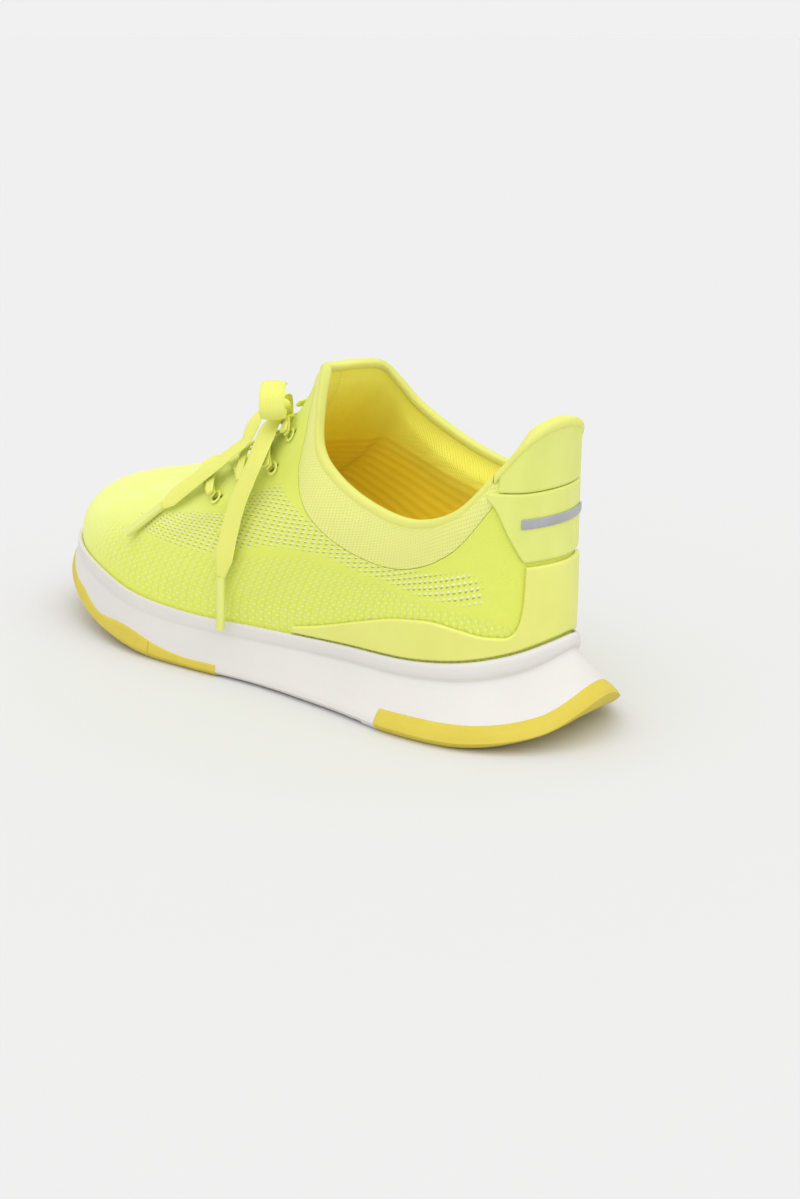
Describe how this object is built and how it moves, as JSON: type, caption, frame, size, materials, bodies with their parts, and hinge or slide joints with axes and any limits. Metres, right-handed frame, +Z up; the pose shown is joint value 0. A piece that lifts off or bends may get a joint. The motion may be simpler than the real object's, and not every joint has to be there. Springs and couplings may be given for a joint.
{
  "type": "running shoe",
  "caption": "Left low-cut running shoe: sock-like knitted upper with a raised heel tab, flat laces tied in a bow, flared foam midsole and rubber outsole pads.",
  "frame": {"origin": "on the ground, in the middle of the shoe's length and width", "axes": "+Y towards the toe, +X towards the medial side, +Z up"},
  "size_m": [0.0956, 0.281, 0.1242],
  "materials": {
    "midsole_foam": "moulded foam with a fine skin",
    "outsole_rubber": "moulded rubber, matt",
    "lime_knit": "ribbed and pierced knit",
    "collar_knit": "fine open knit",
    "edge_binding": "smooth folded tape",
    "heel_overlay": "soft moulded film",
    "heel_film": "thin fused film",
    "reflective_film": "grey reflective film",
    "lace_tip": "clear film wrapped round the lace",
    "lace_yarn": "flat woven polyester",
    "eyelet_film": "fused film ring",
    "lining_fabric": "smooth jersey",
    "insole_fabric": "brushed fabric over foam",
    "bottom_board": "stiff fleece board",
    "stiffener_sheet": "heat-formed sheet",
    "collar_foam": "soft open-cell foam"
  },
  "bodies": {
    "rearfoot": {"aglet_front": "lace_tip", "aglet_side": "lace_tip", "arch_insert": "midsole_foam", "bow_loop_lateral": "lace_yarn", "bow_loop_medial": "lace_yarn", "collar_foam": "collar_foam", "collar_lining": "lining_fabric", "collar_mesh": "collar_knit", "eyelet_lateral_1": "eyelet_film", "eyelet_lateral_2": "eyelet_film", "eyelet_lateral_3": "eyelet_film", "eyelet_lateral_4": "eyelet_film", "eyelet_medial_1": "eyelet_film", "eyelet_medial_2": "eyelet_film", "eyelet_medial_3": "eyelet_film", "eyelet_medial_4": "eyelet_film", "heel_counter": "stiffener_sheet", "heel_overlay": "heel_overlay", "heel_panel": "heel_film", "heel_reflector": "reflective_film", "heel_tab": "heel_film", "heel_tab_binding": "edge_binding", "insole": "insole_fabric", "lace_bar": "lace_yarn", "lace_end_front": "lace_yarn", "lace_end_side": "lace_yarn", "lace_knot": "lace_yarn", "lace_over_1": "lace_yarn", "lace_over_2": "lace_yarn", "lace_over_3": "lace_yarn", "lace_tie_lateral": "lace_yarn", "lace_tie_medial": "lace_yarn", "lace_under_1": "lace_yarn", "lace_under_2": "lace_yarn", "lace_under_3": "lace_yarn", "midsole_rearfoot": "midsole_foam", "outsole_ball": "outsole_rubber", "outsole_heel": "outsole_rubber", "strobel_board": "bottom_board", "topline_binding": "edge_binding", "upper_knit": "lime_knit"},
    "forefoot": {"midsole_forefoot": "midsole_foam", "outsole_toe": "outsole_rubber", "toe_puff": "stiffener_sheet"}
  },
  "joints": [
    {"name": "toe_flex", "type": "hinge", "parent": "rearfoot", "child": "forefoot", "pos_m": [0, 0.049, 0.025], "axis": [1, 0, 0], "range_deg": [0, 35], "stiffness_Nm_per_rad": 10, "deforming": ["upper_knit", "insole", "strobel_board", "lace_end_front", "aglet_front"]}
  ]
}
